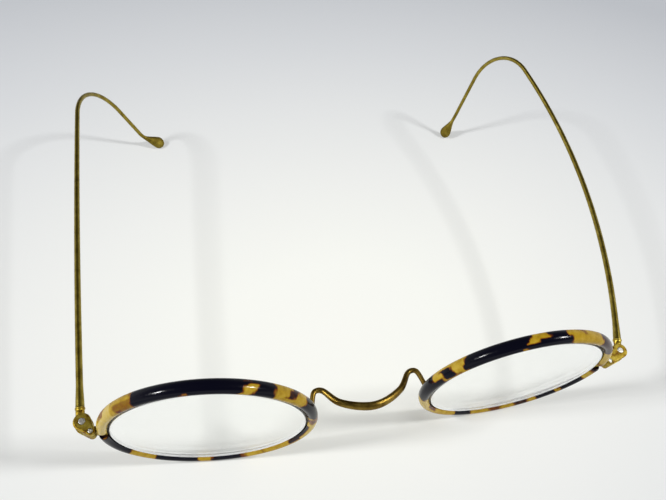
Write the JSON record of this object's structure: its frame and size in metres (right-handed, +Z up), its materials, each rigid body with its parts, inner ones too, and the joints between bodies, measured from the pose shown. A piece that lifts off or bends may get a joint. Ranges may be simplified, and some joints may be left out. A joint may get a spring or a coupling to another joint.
{
  "type": "round eyeglasses",
  "caption": "Round eyeglasses with tortoiseshell-covered wire rims, a W-shaped saddle bridge and hinged wire temples that hook behind the ears.",
  "frame": {"origin": "on the table under the middle of the standing, open eyeglasses", "axes": "+X across the front towards the picture's right, +Y back along the temples, +Z up"},
  "size_m": [0.1258, 0.1042, 0.042],
  "materials": {
    "celluloid": "polished, mottled dark brown and honey amber",
    "gold_filled": "aged satin with worn edges",
    "lens_glass": "clear, polished",
    "screw_steel": "worn, slotted heads"
  },
  "bodies": {
    "front": {"lens_left": "lens_glass", "lens_right": "lens_glass", "eyewire_left": "gold_filled", "eyewire_right": "gold_filled", "rim_cover_left": "celluloid", "rim_cover_right": "celluloid", "endpiece_upper_left": "gold_filled", "endpiece_upper_right": "gold_filled", "endpiece_lower_left": "gold_filled", "endpiece_lower_right": "gold_filled", "rim_screw_left": "screw_steel", "rim_screw_right": "screw_steel", "hinge_screw_left": "screw_steel", "hinge_screw_right": "screw_steel", "bridge": "gold_filled"},
    "temple_left": {"temple_butt_left": "gold_filled", "temple_left": "gold_filled"},
    "temple_right": {"temple_butt_right": "gold_filled", "temple_right": "gold_filled"}
  },
  "joints": [
    {"name": "temple_left_fold", "type": "hinge", "parent": "front", "child": "temple_left", "pos_m": [-0.06123, -0.04456, 0.02189], "axis": [0.0058, 0.0555, -0.9984], "range_deg": [0, 78]},
    {"name": "temple_right_fold", "type": "hinge", "parent": "front", "child": "temple_right", "pos_m": [0.0521, -0.04705, 0.02189], "axis": [0, -0.0837, 0.9965], "range_deg": [0, 86]}
  ]
}
